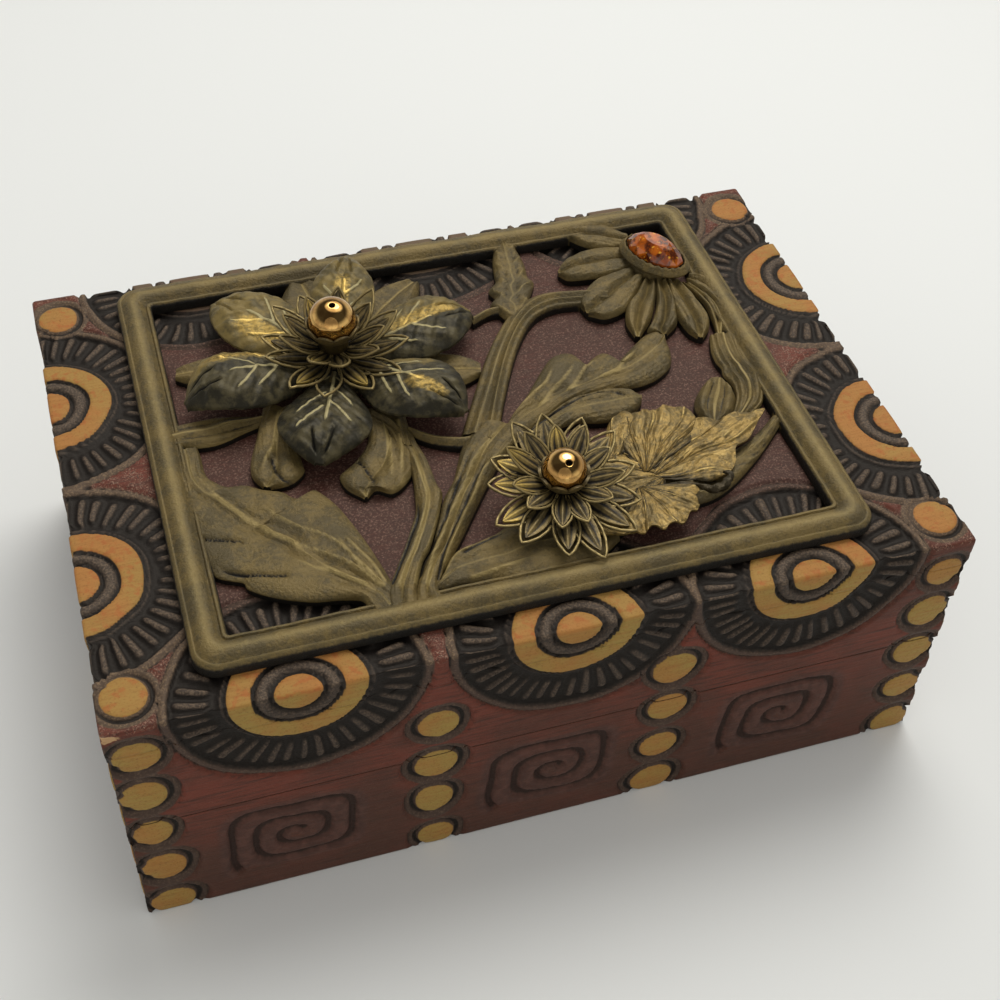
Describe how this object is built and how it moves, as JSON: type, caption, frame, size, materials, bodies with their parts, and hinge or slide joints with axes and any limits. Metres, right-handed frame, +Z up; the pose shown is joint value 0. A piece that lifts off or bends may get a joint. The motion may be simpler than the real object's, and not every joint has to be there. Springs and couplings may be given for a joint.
{
  "type": "trinket box",
  "caption": "Rectangular chip-carved wooden trinket box with a hinged lid that carries a cast brass openwork plate with stacked metal flowers and an amber stone.",
  "frame": {"origin": "centre of the wooden box's footprint, on the surface that the box stands on", "axes": "+X to the right along the box's length, +Y from the front to the hinges at the back, +Z up"},
  "size_m": [0.14, 0.1025, 0.0694],
  "materials": {
    "carved_wood": "chip-carved hardwood, stained red-brown, grooves burnt black, ochre rings and dots, thin varnish",
    "bare_wood": "plain planed hardwood inside and underneath, waxed",
    "cast_brass": "cast brass with an olive antique patina, rubbed on the high edges",
    "hinge_brass": "rolled brass sheet, dulled",
    "dark_petal": "stamped brass with a blue-black patina, gold on the raised veins",
    "aged_gilt": "stamped filigree, darkened gilt with bright wire edges",
    "bright_gilt": "thin stamped leaf, bright worn gilt",
    "polished_ball": "polished gilt ball",
    "amber": "foiled amber glass, faceted"
  },
  "bodies": {
    "base": {"base_front_wall": "carved_wood", "base_back_wall": "carved_wood", "base_left_wall": "carved_wood", "base_right_wall": "carved_wood", "base_bottom_panel": "bare_wood", "left_hinge_base_leaf": "hinge_brass", "left_hinge_pin": "hinge_brass", "left_hinge_base_nail_1": "hinge_brass", "left_hinge_base_nail_2": "hinge_brass", "right_hinge_base_leaf": "hinge_brass", "right_hinge_pin": "hinge_brass", "right_hinge_base_nail_1": "hinge_brass", "right_hinge_base_nail_2": "hinge_brass"},
    "lid": {"lid_front_wall": "carved_wood", "lid_back_wall": "carved_wood", "lid_left_wall": "carved_wood", "lid_right_wall": "carved_wood", "lid_top_panel": "carved_wood", "left_hinge_lid_leaf": "hinge_brass", "left_hinge_lid_nail_1": "hinge_brass", "left_hinge_lid_nail_2": "hinge_brass", "right_hinge_lid_leaf": "hinge_brass", "right_hinge_lid_nail_1": "hinge_brass", "right_hinge_lid_nail_2": "hinge_brass", "openwork_plate": "cast_brass", "large_flower_petals": "dark_petal", "large_flower_lower_filigree": "aged_gilt", "large_flower_upper_filigree": "aged_gilt", "large_flower_bead_cup": "aged_gilt", "large_flower_ball": "polished_ball", "large_flower_rivet": "aged_gilt", "gilt_leaf": "bright_gilt", "small_flower_lower_filigree": "aged_gilt", "small_flower_upper_filigree": "aged_gilt", "small_flower_ball": "polished_ball", "small_flower_rivet": "aged_gilt", "amber_stone": "amber", "stone_setting": "cast_brass"}
  },
  "joints": [
    {"name": "lid_hinge", "type": "hinge", "parent": "base", "child": "lid", "pos_m": [0, 0.0514, 0.0272], "axis": [-1, 0, 0], "range_deg": [0, 150]}
  ]
}
